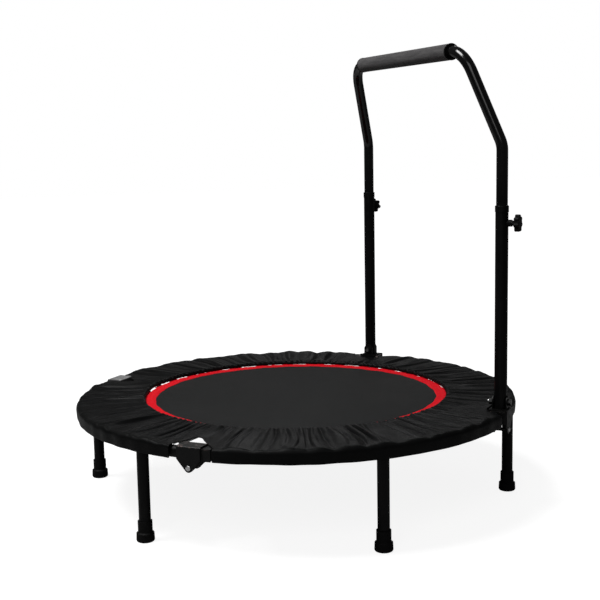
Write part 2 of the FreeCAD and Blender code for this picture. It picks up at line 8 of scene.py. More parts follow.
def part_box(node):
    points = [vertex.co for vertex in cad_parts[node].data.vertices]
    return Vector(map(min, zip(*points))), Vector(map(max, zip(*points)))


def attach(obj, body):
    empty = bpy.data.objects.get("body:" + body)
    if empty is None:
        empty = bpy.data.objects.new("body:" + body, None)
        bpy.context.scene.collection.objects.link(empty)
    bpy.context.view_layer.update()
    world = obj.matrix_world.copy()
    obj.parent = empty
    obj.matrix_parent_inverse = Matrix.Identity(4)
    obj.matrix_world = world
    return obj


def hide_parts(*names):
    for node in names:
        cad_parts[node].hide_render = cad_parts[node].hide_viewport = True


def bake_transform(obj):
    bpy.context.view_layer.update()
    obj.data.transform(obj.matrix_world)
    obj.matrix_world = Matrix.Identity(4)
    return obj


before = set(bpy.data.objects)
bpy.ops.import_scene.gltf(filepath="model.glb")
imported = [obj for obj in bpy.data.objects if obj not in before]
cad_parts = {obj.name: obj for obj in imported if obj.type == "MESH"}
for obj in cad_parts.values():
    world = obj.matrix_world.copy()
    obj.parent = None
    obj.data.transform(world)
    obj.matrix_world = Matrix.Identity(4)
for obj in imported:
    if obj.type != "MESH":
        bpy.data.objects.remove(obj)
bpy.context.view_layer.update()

# Everything is in metres in the model's frame: origin on the floor under the ring's centre, +Z up,
# the handle at +Y. The ring folds about the line through the front left and rear right hinges.
SEED = 7


# --- Sizes read from the model -----------------------------------------------------------------
def middle(node):
    low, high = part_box(node)
    return (low + high) / 2


LEG_LOW, LEG_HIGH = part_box("leg_right")
RING_R = middle("leg_right").x
TUBE_R = (LEG_HIGH.x - LEG_LOW.x) / 2
RING_Z = middle("frame_arc_front").z
COVER_LOW, COVER_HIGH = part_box("cover_front_half")
MAT_Z = middle("mat_front_half").z
MAT_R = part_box("mat_front_half")[1].x
BAND_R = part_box("mat_band_front_half")[1].x
RING_WIRE_R = (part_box("v_rings_front_half")[1].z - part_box("v_rings_front_half")[0].z) / 2

HEM_R = BAND_R + 0.0004         # inner edge of the cover's top, over the band's edge
SPRINGS = 32
SPRING_STEP = 2 * math.pi / SPRINGS
FOLD_ACROSS = Vector((-1, -1, 0)).normalized()      # from the fold line towards the rear half


def on_rear_half(angle):
    """Whether a place at this azimuth belongs to the half that folds."""
    return math.cos(angle) * FOLD_ACROSS.x + math.sin(angle) * FOLD_ACROSS.y > 0


def polar(radius, angle, z):
    return Vector((radius * math.cos(angle), radius * math.sin(angle), z))


# --- Mesh helpers ------------------------------------------------------------------------------
def new_piece(name, points, faces, smooth=True):
    mesh = bpy.data.meshes.new(name)
    mesh.from_pydata([tuple(p) for p in points], [], [tuple(f) for f in faces])
    mesh.update()
    for polygon in mesh.polygons:
        polygon.use_smooth = smooth
    piece = bpy.data.objects.new(name, mesh)
    bpy.context.scene.collection.objects.link(piece)
    return piece


class Builder:
    """Collects points and faces of many like pieces into one mesh."""

    def __init__(self):
        self.points = []
        self.faces = []

    def add(self, points, faces):
        start = len(self.points)
        self.points.extend(points)
        self.faces.extend([tuple(start + i for i in face) for face in faces])

    def sweep(self, path, radius, sides, closed=False, flat=1.0):
        """A round wire along a path; flat below 1 squeezes it in its second direction."""
        count = len(path)
        tangents = []
        for i in range(count):
            before = path[i - 1] if closed or i > 0 else path[i]
            after = path[(i + 1) % count] if closed or i < count - 1 else path[i]
            tangents.append((after - before).normalized())
        side = tangents[0].orthogonal().normalized()
        points = []
        for place, tangent in zip(path, tangents):
            side = (side - tangent * side.dot(tangent)).normalized()
            other = tangent.cross(side)
            for k in range(sides):
                turn = 2 * math.pi * k / sides
                across = side * (radius * math.cos(turn))
                points.append(place + across + other * (flat * radius * math.sin(turn)))
        faces = []
        for i in range(count if closed else count - 1):
            a = i * sides
            b = ((i + 1) % count) * sides
            for k in range(sides):
                m = (k + 1) % sides
                faces.append((a + k, a + m, b + m, b + k))
        if not closed:
            faces.append(tuple(reversed(range(sides))))
            faces.append(tuple((count - 1) * sides + k for k in range(sides)))
        self.add(points, faces)

    def piece(self, name, smooth=True):
        return new_piece(name, self.points, self.faces, smooth)


# --- Materials ---------------------------------------------------------------------------------
class Surface:
    """A node material under construction: each method returns an output socket."""

    def __init__(self, name, **sockets):
        self.material = bpy.data.materials.new(name)
        self.material.use_nodes = True
        self.tree = self.material.node_tree
        self.shader = self.tree.nodes["Principled BSDF"]
        for key, value in sockets.items():
            self.shader.inputs[key.replace("_", " ")].default_value = value
        self.place = self.node("ShaderNodeTexCoord").outputs["Object"]

    def node(self, kind, settings=(), **inputs):
        made = self.tree.nodes.new(kind)
        for key, value in dict(settings).items():
            setattr(made, key, value)
        for key, value in inputs.items():
            self.feed(made.inputs[key.replace("_", " ")], value)
        return made

    def feed(self, socket, value):
        if isinstance(value, bpy.types.NodeSocket):
            self.tree.links.new(value, socket)
        else:
            socket.default_value = value

    def math(self, operation, a, b=0.0, clamp=False):
        made = self.node("ShaderNodeMath", {"operation": operation, "use_clamp": clamp})
        self.feed(made.inputs[0], a)
        self.feed(made.inputs[1], b)
        return made.outputs[0]

    def noise(self, scale, detail=3.0, roughness=0.5, vector=None):
        made = self.node("ShaderNodeTexNoise", Scale=scale, Detail=detail, Roughness=roughness)
        self.feed(made.inputs["Vector"], vector or self.place)
        return made.outputs["Fac"]

    def stretched(self, x, y, z):
        made = self.node("ShaderNodeMapping", Vector=self.place)
        made.inputs["Scale"].default_value = (x, y, z)
        return made.outputs["Vector"]

    def span(self, value, from_low, from_high, to_low=0.0, to_high=1.0):
        """Maps a range to another, clamped and smooth."""
        made = self.node("ShaderNodeMapRange", {"interpolation_type": "SMOOTHSTEP"}, Value=value)
        made.inputs["From Min"].default_value = from_low
        made.inputs["From Max"].default_value = from_high
        made.inputs["To Min"].default_value = to_low
        made.inputs["To Max"].default_value = to_high
        return made.outputs["Result"]

    def mix(self, share, a, b):
        made = self.node("ShaderNodeMix", {"data_type": "RGBA"})
        self.feed(made.inputs["Factor"], share)
        self.feed(made.inputs["A"], a)
        self.feed(made.inputs["B"], b)
        return made.outputs["Result"]

    def axes(self):
        made = self.node("ShaderNodeSeparateXYZ", Vector=self.place)
        return made.outputs["X"], made.outputs["Y"], made.outputs["Z"]

    def polar_axes(self):
        """Distance from the ring's axis, the azimuth in radians, and the height."""
        x, y, z = self.axes()
        radius = self.math("SQRT", self.math("ADD", self.math("MULTIPLY", x, x), self.math("MULTIPLY", y, y)))
        return radius, self.math("ARCTAN2", y, x), z

    def bump(self, *layers):
        """Stacks (height, strength, distance) layers on the shader's normal."""
        normal = None
        for height, strength, distance in layers:
            made = self.node("ShaderNodeBump", Height=height)
            made.inputs["Strength"].default_value = strength
            made.inputs["Distance"].default_value = distance
            if normal is not None:
                self.tree.links.new(normal, made.inputs["Normal"])
            normal = made.outputs["Normal"]
        self.tree.links.new(normal, self.shader.inputs["Normal"])

    def set(self, **inputs):
        for key, value in inputs.items():
            self.feed(self.shader.inputs[key.replace("_", " ")], value)
        return self.material


def grey(level, tint=(1.0, 1.0, 1.0)):
    return tuple(level * t for t in tint) + (1.0,)


def painted(name, dark, light, rough_low, rough_high, level, coat=0.0):
    """Black powder coat or paint: a slight mottle, an orange-peel bump and faint rubbed patches."""
    s = Surface(name, Specular_IOR_Level=level, Coat_Weight=coat, Coat_Roughness=0.08)
    patches = s.noise(9.0, 4.0, 0.6)
    rub = s.span(s.noise(38.0, 5.0, 0.65), 0.58, 0.78)
    colour = s.mix(s.span(patches, 0.3, 0.75), grey(dark), grey(light, (1.0, 1.0, 1.06)))
    colour = s.mix(s.math("MULTIPLY", rub, 0.35), colour, grey(light * 2.2, (1.0, 0.98, 0.95)))
    roughness = s.span(s.noise(60.0, 3.0), 0.3, 0.7, rough_low, rough_high)
    s.bump((s.noise(900.0, 2.0), 0.12, 0.0004), (s.noise(45.0, 3.0), 0.05, 0.001))
    return s.set(Base_Color=colour, Roughness=roughness)


BROWN_STEEL_DARK = (0.055, 0.038, 0.034, 1)
BROWN_STEEL_LIGHT = (0.15, 0.12, 0.115, 1)


def worn_paint(name, edge_z, share, steel_dark=BROWN_STEEL_DARK, steel_light=BROWN_STEEL_LIGHT):
    """Black paint on folded sheet, rubbed through to bare steel over the top and in scratches."""
    s = Surface(name, Specular_IOR_Level=0.2)
    _, _, z = s.axes()
    high = s.span(z, edge_z - 0.004, edge_z - 0.0005)
    chips = s.span(s.noise(70.0, 6.0, 0.7), 0.62 - share, 0.72 - share)
    scratches = s.span(s.noise(1.0, 5.0, 0.6, s.stretched(320.0, 60.0, 45.0)), 0.66, 0.74)
    bare = s.math("MAXIMUM", s.math("MULTIPLY", high, chips), s.math("MULTIPLY", scratches, 0.15))
    steel = s.mix(s.noise(55.0, 4.0), steel_dark, steel_light)
    paint = s.mix(s.noise(14.0, 4.0), grey(0.002), grey(0.005))
    s.bump((s.noise(700.0, 2.0), 0.12, 0.0004), (bare, 0.25, -0.0003))
    return s.set(Base_Color=s.mix(bare, paint, steel), Metallic=s.math("MULTIPLY", bare, 0.7),
                 Roughness=s.span(s.noise(90.0, 4.0), 0.3, 0.7, 0.32, 0.5))


def zinc(name, light, roughness):
    s = Surface(name, Metallic=1.0)
    cloud = s.noise(160.0, 4.0, 0.6)
    colour = s.mix(cloud, grey(light * 0.72), grey(light, (1.0, 1.0, 0.97)))
    s.bump((s.noise(1500.0, 2.0), 0.15, 0.0002))
    return s.set(Base_Color=colour, Roughness=s.span(cloud, 0.3, 0.7, roughness * 0.75, roughness * 1.3))


def part_zinc(name, inside, outside, radius):
    """Zinc that is bright on one side of a circle round the ring's axis and dark on the other: on the pins
    the dark shanks under the cloth are painted shade.
    """
    s = Surface(name, Metallic=1.0)
    distance, _, _ = s.polar_axes()
    side = s.span(distance, radius - 0.0004, radius + 0.0004)
    cloud = s.noise(160.0, 4.0, 0.6)
    colour = s.mix(side, grey(inside), grey(outside))
    colour = s.mix(s.math("MULTIPLY", cloud, 0.4), colour, grey(0.02))
    s.bump((s.noise(1500.0, 2.0), 0.15, 0.0002))
    return s.set(Base_Color=colour, Roughness=s.span(cloud, 0.3, 0.7, 0.22, 0.38))


def moulded(name, dark, light, rough_low, rough_high, grain, grain_depth):
    """Rubber or plastic from a mould, with a grained face and scuffed high spots."""
    s = Surface(name, Specular_IOR_Level=0.12)
    scuff = s.span(s.noise(48.0, 6.0, 0.7), 0.5, 0.8)
    s.bump((s.noise(grain, 3.0), 0.35, grain_depth), (s.noise(70.0, 2.0), 0.08, 0.0006))
    return s.set(Base_Color=s.mix(scuff, grey(dark), grey(light, (1.0, 0.99, 0.97))),
                 Roughness=s.span(s.noise(110.0, 3.0), 0.3, 0.7, rough_low, rough_high))


def foam(name):
    """Dense foam with open pores and faint mould streaks along its length."""
    s = Surface(name, Specular_IOR_Level=0.08)
    pores = s.node("ShaderNodeTexVoronoi", {"feature": "F1"}, Vector=s.place, Scale=900.0).outputs["Distance"]
    streak = s.noise(1.0, 4.0, 0.6, s.stretched(14.0, 130.0, 130.0))
    dark = grey(0.056, (1.01, 0.98, 1.0))
    light = grey(0.09, (1.01, 0.98, 0.99))
    colour = s.mix(s.span(streak, 0.3, 0.75), dark, light)
    colour = s.mix(s.span(pores, 0.0, 0.35, 0.55, 0.0), colour, grey(0.018))
    s.bump((pores, 0.45, 0.0005), (streak, 0.18, 0.0009))
    return s.set(Base_Color=colour, Roughness=s.span(streak, 0.3, 0.7, 0.72, 0.9))


def weave_height(s, across, along, pitch):
    """Height of a plain weave: yarns in two directions that pass over each other in turn."""
    u = s.math("MULTIPLY", across, math.pi / pitch)
    v = s.math("MULTIPLY", along, math.pi / pitch)
    warp = s.math("ABSOLUTE", s.math("SINE", u))
    weft = s.math("ABSOLUTE", s.math("SINE", v))
    over = s.math("MULTIPLY", s.math("COSINE", u), s.math("COSINE", v))
    first = s.math("MULTIPLY", warp, s.span(over, -0.3, 0.3))
    second = s.math("MULTIPLY", weft, s.span(over, -0.3, 0.3, 1.0, 0.0))
    return s.math("ADD", first, second)


def mat_weave(name):
    """Charcoal jumping mat: a tight weave of flat polypropylene yarn with a faint dusty bloom."""
    s = Surface(name, Specular_IOR_Level=0.03)
    x, y, _ = s.axes()
    height = weave_height(s, s.math("ADD", x, y), s.math("SUBTRACT", x, y), 0.0022)
    yarn = s.noise(1.0, 3.0, 0.6, s.stretched(900.0, 25.0, 1.0))
    bloom = s.noise(3.2, 5.0, 0.55)
    dark = grey(0.010, (0.98, 1.0, 1.0))
    light = grey(0.021, (0.98, 1.0, 1.01))
    dust = grey(0.031, (1.0, 0.99, 0.97))
    colour = s.mix(s.span(height, 0.1, 0.95), dark, light)
    colour = s.mix(s.math("MULTIPLY", s.span(yarn, 0.35, 0.7), 0.3), colour, grey(0.029))
    colour = s.mix(s.math("MULTIPLY", s.span(bloom, 0.42, 0.75), 0.25), colour, dust)
    s.bump((height, 0.3, 0.0005))
    return s.set(Base_Color=colour, Roughness=s.span(height, 0.0, 1.0, 0.75, 0.55))


def webbing(name, dark, light):
    """Sewn webbing: cross ribs, long yarns and soft darker patches at random."""
    s = Surface(name, Specular_IOR_Level=0.06)
    radius, angle, _ = s.polar_axes()
    along = s.math("MULTIPLY", angle, BAND_R)
    height = weave_height(s, radius, along, 0.0016)
    soft = s.noise(26.0, 4.0, 0.6)
    colour = s.mix(s.span(height, 0.1, 0.9), dark, light)
    colour = s.mix(s.math("MULTIPLY", s.span(soft, 0.4, 0.75), 0.35), colour, dark)
    s.bump((height, 0.3, 0.0005), (soft, 0.12, 0.0015))
    return s.set(Base_Color=colour, Roughness=s.span(height, 0.0, 1.0, 0.8, 0.6))


def cover_cloth(name):
    """Black coated polyester: a fine weave under a soft sheen, greyer where the folds catch dust."""
    s = Surface(name, Specular_IOR_Level=0.075)
    radius, angle, z = s.polar_axes()
    run = s.math("SUBTRACT", radius, z)
    height = weave_height(s, run, s.math("MULTIPLY", angle, RING_R), 0.0011)
    crease = s.noise(55.0, 6.0, 0.62)
    dust = s.noise(6.5, 5.0, 0.6)
    dark = grey(0.0012, (0.96, 1.0, 1.02))
    light = grey(0.0036, (0.96, 1.0, 1.02))
    colour = s.mix(s.span(height, 0.1, 0.9), dark, light)
    colour = s.mix(s.math("MULTIPLY", s.span(dust, 0.4, 0.75), 0.4), colour, grey(0.007, (0.97, 1.0, 1.0)))
    s.bump((height, 0.22, 0.0003), (crease, 0.22, 0.0016))
    return s.set(Base_Color=colour, Roughness=s.span(s.noise(18.0, 4.0), 0.3, 0.7, 0.36, 0.48))


def thread(name, colour_low, colour_high):
    s = Surface(name, Specular_IOR_Level=0.1)
    twist = s.noise(1400.0, 2.0)
    s.bump((twist, 0.4, 0.0002))
    colour = s.mix(twist, colour_low, colour_high)
    return s.set(Base_Color=colour, Roughness=s.span(twist, 0.3, 0.7, 0.55, 0.75))


def floor_paper(name):
    """Pale paper that looks nearly white to the camera, but throws little light on the object."""
    s = Surface(name, Specular_IOR_Level=0.0, Emission_Color=grey(1.0))
    tone = s.noise(0.8, 3.0)
    radius, _, _ = s.polar_axes()
    seen = s.node("ShaderNodeLightPath").outputs["Is Camera Ray"]
    glow = s.math("MULTIPLY", seen, s.span(radius, 0.7, 3.0, 0.88, 1.0))
    s.bump((s.noise(220.0, 3.0), 0.03, 0.0005))
    return s.set(Base_Color=s.mix(tone, grey(0.34), grey(0.36)), Emission_Strength=glow,
                 Roughness=s.span(tone, 0.3, 0.7, 0.8, 0.9))


HINGE_TOP_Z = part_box("hinge_outer_rear_right")[1].z
PIN_HEAD_R = RING_R + 0.0195     # the pins' riveted heads lie past this, outside the hinge ears
BOLT_TIP_R = RING_R - 0.0250     # the post bolts' ends stick out of their nuts inside this
FRAME_PAINT = painted("frame_paint", 0.002, 0.004, 0.36, 0.48, 0.12)
LEG_PAINT = painted("leg_paint", 0.0018, 0.0036, 0.36, 0.48, 0.12)
POST_PAINT = painted("post_paint", 0.0014, 0.003, 0.3, 0.42, 0.12)
HANDLE_PAINT = painted("handle_paint", 0.001, 0.0022, 0.14, 0.2, 0.3, coat=0.3)
HINGE_PAINT = worn_paint("hinge_paint", HINGE_TOP_Z, 0.12)
RUBBED_PAINT = worn_paint("hinge_rubbed_paint", HINGE_TOP_Z, 0.35, grey(0.3), grey(0.55))
INNER_PAINT = worn_paint("hinge_inner_paint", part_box("hinge_inner_rear_right")[1].z, 0.02)
BRACKET_PAINT = worn_paint("bracket_paint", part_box("post_bracket_right")[1].z, 0.0)
BRIGHT_ZINC = zinc("bright_zinc", 0.72, 0.26)
DARK_ZINC = zinc("dark_zinc", 0.05, 0.36)
# The pins' shanks inside PIN_HEAD_R, under the cloth, are coloured dark zinc: painted shade.
PIN_ZINC_SHADED_SHANKS = part_zinc("pin_zinc_shaded_shanks", 0.04, 0.8, PIN_HEAD_R)
BOLT_ZINC = part_zinc("bolt_zinc", 0.75, 0.05, BOLT_TIP_R)
SPRING_ZINC = zinc("spring_zinc", 0.5, 0.34)
RUBBER = moulded("foot_rubber", 0.0025, 0.006, 0.55, 0.75, 650.0, 0.0006)
KNOB_PLASTIC = moulded("knob_plastic", 0.002, 0.005, 0.35, 0.5, 500.0, 0.0004)
FOAM = foam("grip_foam")
GRIP_RING = moulded("grip_ring_rubber", 0.0015, 0.004, 0.4, 0.55, 500.0, 0.0004)
MAT_CLOTH = mat_weave("mat_weave")
RED_BAND = webbing("red_webbing", (0.50, 0.004, 0.010, 1), (0.78, 0.008, 0.018, 1))
BLACK_TAPE = webbing("black_webbing", grey(0.005), grey(0.012))
COVER_CLOTH = cover_cloth("cover_cloth")
RED_THREAD = thread("red_thread", (0.42, 0.004, 0.010, 1), (0.68, 0.010, 0.020, 1))
BLACK_THREAD = thread("black_thread", grey(0.006), grey(0.014))

NODE_MATERIALS = {
    "frame_arc_": FRAME_PAINT,
    "hinge_outer_": HINGE_PAINT,
    "hinge_outer_rear_left": RUBBED_PAINT,
    "hinge_inner_": INNER_PAINT,
    "hinge_pins_": PIN_ZINC_SHADED_SHANKS,
    "leg_studs_": FRAME_PAINT,
    "leg_nuts_": BRIGHT_ZINC,
    "leg_": LEG_PAINT,
    "foot_": RUBBER,
    "v_rings_": SPRING_ZINC,
    "post_bracket_": BRACKET_PAINT,
    "post_bolts": BOLT_ZINC,
    "post_nuts": DARK_ZINC,
    "post_washers": DARK_ZINC,
    "post_bushes": KNOB_PLASTIC,
    "post_": POST_PAINT,
    "knob_bosses": POST_PAINT,
    "knob_screw_": BRIGHT_ZINC,
    "knob_tip_": BRIGHT_ZINC,
    "knob_": KNOB_PLASTIC,
    "handle_tube": HANDLE_PAINT,
    "handle_grip": FOAM,
    "grip_end_rings": GRIP_RING,
}


def paint_nodes():
    """Gives every CAD node its material; the longest matching name wins."""
    for name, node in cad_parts.items():
        matches = [prefix for prefix in NODE_MATERIALS if name.startswith(prefix)]
        if not matches:
            continue
        material = NODE_MATERIALS[max(matches, key=len)]
        node.data.materials.clear()
        node.data.materials.append(material)


# --- Springs and tabs --------------------------------------------------------------------------
COIL_R = 0.0037
COILS_FROM_R = 0.3885           # the coils' two ends, from the ring's axis
COILS_TO_R = 0.4675
COIL_TURNS = 30
COIL_STEPS = 11                 # points in one turn
HOOK_HOLE_R = RING_R - 0.005    # where the outer hook goes down into the ring tube
V_POINT_R = 0.3757              # the V ring's point, which the inner hook goes round
V_BAR_R = 0.3596                # the V ring's bar, in its webbing loop


def spring_path(angle):
    """The wire of one tension spring: a hook round the V ring, the coils, a hook into the ring tube."""
    axis_z = MAT_Z - COIL_R
    out = polar(1.0, angle, 0.0)
    side = polar(1.0, angle + math.pi / 2, 0.0)
    up = Vector((0, 0, 1))

    def at(radius, height, aside=0.0):
        return out * radius + side * aside + up * height

    hook_r = RING_WIRE_R + 0.0013
    path = []
    for k in range(7):
        turn = math.radians(-60 + k * 40)
        path.append(at(V_POINT_R - hook_r * math.cos(turn), MAT_Z - hook_r * math.sin(turn)))
    path.append(at(0.3815, axis_z + 0.0016))
    path.append(at(0.3855, axis_z + 0.0006))
    for k in range(COIL_TURNS * COIL_STEPS + 1):
        turn = 2 * math.pi * k / COIL_STEPS
        share = k / (COIL_TURNS * COIL_STEPS)
        radius = COILS_FROM_R + (COILS_TO_R - COILS_FROM_R) * share
        path.append(at(radius, axis_z + COIL_R * math.sin(turn), COIL_R * math.cos(turn)))
    path.append(at(COILS_TO_R + 0.003, axis_z + 0.0018, COIL_R * 0.5))
    path.append(at(COILS_TO_R + 0.007, MAT_Z - 0.0004))
    path.append(at(HOOK_HOLE_R - 0.0035, MAT_Z))
    path.append(at(HOOK_HOLE_R - 0.0012, MAT_Z - 0.0004))
    path.append(at(HOOK_HOLE_R, MAT_Z - 0.0018))
    path.append(at(HOOK_HOLE_R, MAT_Z - 0.0055))
    return path


def make_springs():
    wire_r = 0.0009
    for half in ("front_half", "rear_half"):
        wires = Builder()
        for k in range(SPRINGS):
            angle = (k + 0.5) * SPRING_STEP
            if on_rear_half(angle) == (half == "rear_half"):
                wires.sweep(spring_path(angle), wire_r, 5)
        springs = wires.piece("springs_of_" + half)
        springs.data.materials.append(SPRING_ZINC)
        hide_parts("springs_" + half)
        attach(springs, half)


def make_tabs():
    """Webbing loops that hold the V rings, folded round the bar and sewn under the band."""
    wrap = RING_WIRE_R + 0.0007
    half_width = 0.0105
    tape = 0.0005
    for half in ("front_half", "rear_half"):
        loops = Builder()
        for k in range(SPRINGS):
            angle = (k + 0.5) * SPRING_STEP
            if on_rear_half(angle) != (half == "rear_half"):
                continue
            out = polar(1.0, angle, 0.0)
            side = polar(1.0, angle + math.pi / 2, 0.0)
            line = [(0.340, -0.0021), (0.350, -0.0021), (0.3565, -0.0020)]
            turns = np.radians(range(-90, 91, 20))
            line += [(V_BAR_R + wrap * math.cos(t), wrap * math.sin(t)) for t in turns]
            line += [(0.3572, 0.0016)]
            points = []
            faces = []
            corners = ((-half_width, -tape), (half_width, -tape), (half_width, tape), (-half_width, tape))
            for r, z in line:
                for aside, lift in corners:
                    points.append(out * r + side * aside + Vector((0, 0, MAT_Z + z + lift)))
            for i in range(len(line) - 1):
                for m in range(4):
                    n = (m + 1) % 4
                    faces.append((4 * i + m, 4 * i + n, 4 * i + 4 + n, 4 * i + 4 + m))
            faces.append((3, 2, 1, 0))
            end = 4 * (len(line) - 1)
            faces.append((end, end + 1, end + 2, end + 3))
            loops.add(points, faces)
        tabs = loops.piece("ring_tabs_of_" + half)
        tabs.data.materials.append(BLACK_TAPE)
        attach(tabs, half)


# --- Mat and band ------------------------------------------------------------------------------
def disc_grid(inner, outer, rings, columns, height):
    """Points and faces of a flat ring or disc whose height at (radius, angle) is given by a function."""
    points = []
    faces = []
    for i in range(rings + 1):
        radius = inner + (outer - inner) * i / rings
        for k in range(columns):
            angle = 2 * math.pi * k / columns
            points.append(polar(radius, angle, height(radius, angle)))
    for i in range(rings):
        for k in range(columns):
            m = (k + 1) % columns
            faces.append((i * columns + k, (i + 1) * columns + k, (i + 1) * columns + m, i * columns + m))
    return points, faces


def thicken(piece, thickness, offset):
    solid = piece.modifiers.new("thickness", "SOLIDIFY")
    solid.thickness = thickness
    solid.offset = offset


def apply_modifiers(piece):
    """Replaces the piece's mesh by what its modifiers make of it."""
    depsgraph = bpy.context.evaluated_depsgraph_get()
    mesh = bpy.data.meshes.new_from_object(piece.evaluated_get(depsgraph))
    piece.modifiers.clear()
    piece.data = mesh


def fold_with_ring(piece):
    """Bakes the placement of a fabric that crosses the fold line into its mesh."""
    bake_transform(piece)


def make_mat():
    """The jumping mat: flat and tight, with the least sag, and pulled to 32 faint scallops by its springs."""
    sag = 0.0012

    def height(radius, angle):
        pull = 0.00035 * math.cos(angle * SPRINGS + math.pi) * (radius / MAT_R) ** 8
        return MAT_Z - sag * (1 - (radius / BAND_R) ** 2) + pull

    columns = 256
    points, faces = disc_grid(0.006, MAT_R + 0.010, 60, columns, height)
    centre = len(points)
    points.append(Vector((0, 0, height(0, 0))))
    faces.extend([(k, (k + 1) % columns, centre) for k in range(columns)])
    mat = new_piece("jumping_mat", points, faces)
    thicken(mat, 0.001, 0.0)
    apply_modifiers(mat)
    mat.data.materials.append(MAT_CLOTH)
    return mat


def band_ripple(angle):
    """The band's slight puckers between its seams."""
    puckers = 0.00035 * math.sin(angle * 64 + 1.1 * math.sin(angle * 9))
    return puckers + 0.00025 * math.sin(angle * 151 + 2 * math.sin(angle * 5))


def band_wander(angle):
    """How far the band strays from a true circle: it was sewn by hand and is pulled by its springs."""
    stray = 0.0008 * math.sin(7 * angle + 1.0) + 0.0006 * math.sin(19 * angle + 2.5 * math.sin(3 * angle))
    return stray + 0.0007 * math.cos(angle * SPRINGS + math.pi)


def make_band():
    """The red band: webbing folded over the mat's edge, a soft flat tube in section."""
    columns = 720
    inner = MAT_R
    outer = BAND_R
    half = 0.0013
    section = []
    for t in np.linspace(0, 2 * math.pi, 28, endpoint=False):
        c = math.cos(t)
        s = math.sin(t)
        x = (inner + outer) / 2 + (outer - inner) / 2 * math.copysign(abs(c) ** 0.35, c)
        section.append((x, half * math.copysign(abs(s) ** 0.45, s)))
    points = []
    for k in range(columns):
        angle = 2 * math.pi * k / columns
        wander = band_wander(angle)
        for x, z in section:
            share = (x - inner) / (outer - inner)
            points.append(polar(x + wander, angle, MAT_Z + 0.0002 + z + band_ripple(angle) * share))
    count = len(section)
    faces = []
    for k in range(columns):
        m = (k + 1) % columns
        for i in range(count):
            n = (i + 1) % count
            faces.append((k * count + i, k * count + n, m * count + n, m * count + i))
    band = new_piece("red_band", points, faces)
    band.data.materials.append(RED_BAND)
    return band


def stitch_row(builder, radius, z, stitches, radius_of_thread):
    """A row of separate stitches round the ring, each a short dash that dips into the cloth."""
    for k in range(stitches):
        start = 2 * math.pi * k / stitches
        length = 2 * math.pi / stitches * 0.72
        path = []
        for share, dip in ((0.0, 0.0007), (0.25, 0.0), (0.75, 0.0), (1.0, 0.0007)):
            angle = start + length * share
            rise = band_ripple(angle) * (radius - MAT_R) / (BAND_R - MAT_R) - dip
            path.append(polar(radius + band_wander(angle), angle, z + rise))
        builder.sweep(path, radius_of_thread, 4)


def make_band_stitches():
    rows = Builder()
    top = MAT_Z + 0.0002 + 0.00135
    for radius in (MAT_R + 0.004, MAT_R + 0.0075, BAND_R - 0.0095, BAND_R - 0.005):
        stitch_row(rows, radius, top, 520, 0.00032)
    stitches = rows.piece("band_stitches")
    stitches.data.materials.append(RED_THREAD)
    return stitches


# --- Cover -------------------------------------------------------------------------------------
COVER_TOP_Z = COVER_HIGH.z - 0.0030
COVER_HEM_Z = COVER_HIGH.z - 0.0004
COVER_FLOOR_Z = MAT_Z + 0.0028  # the cloth lies on springs and V rings, and gets no lower than this
BAND_TOP_Z = MAT_Z + 0.0018
ROLL_START_R = 0.5045
ROLL_R = 0.0072                 # the cloth's turn from the top into the skirt
SKIRT_BOTTOM_R = 0.5103
# The arch cut out over each hinge: its crown's radius, and how far along the shoulder's circle it is.
NOTCH_CROWN_R = {45: 0.468, 135: 0.468, 225: 0.442, 315: 0.442}
NOTCH_CROWN_AT = {45: 0.014, 135: 0.014, 225: 0.014, 315: -0.010}
NOTCH_CROWN_HALF = 0.006
NOTCH_SHOULDER_R = 0.5035
NOTCH_FEET = (-0.0455, 0.050)
BEYOND = 9.0                    # a radius past everything
COVER_COLUMNS = 840
PARTED_AT = math.radians(230)   # where the hem has drawn back from the band
PARTED_HALF = math.radians(26)
SETTLING = 0.45                 # how much of the settling the stiff coated cloth follows
SETTLING_FRAMES = 12
FRILL_HEIGHT = 0.0019           # the folds' heights, from the hem's frills out to the edge's lumps
RIDGE_HEIGHT = 0.0030
BROAD_HEIGHT = 0.0056
LUMP_HEIGHT = 0.0026
GAPE_LIFT = 0.0030              # how far the lip stands off the band where it gapes
PARTED_WIDTH = 0.0085           # how far the hem has drawn back
DROOP = 0.0034                  # how far the cloth sinks beside an arch
FURTHEST_MOVE = 0.010           # a point that the settling moves further than this is held back
CLOTH_THICKNESS = 0.0012
REST_FROM_R = 0.34              # the flat rest that the cloth settles on, from under the band to the ring
REST_TO_R = 0.502
COVER_CEILING_Z = COVER_HIGH.z + 0.008
RING_GROUND_FROM = 0.465        # from here outward the ring tube starts to carry the cloth
RING_GROUND_RUN = 0.015
TOP_ROWS = 38
ROLL_ROWS = 6
SKIRT_ROWS = 7
SKIRT_LOW_Z = COVER_LOW.z - 0.001


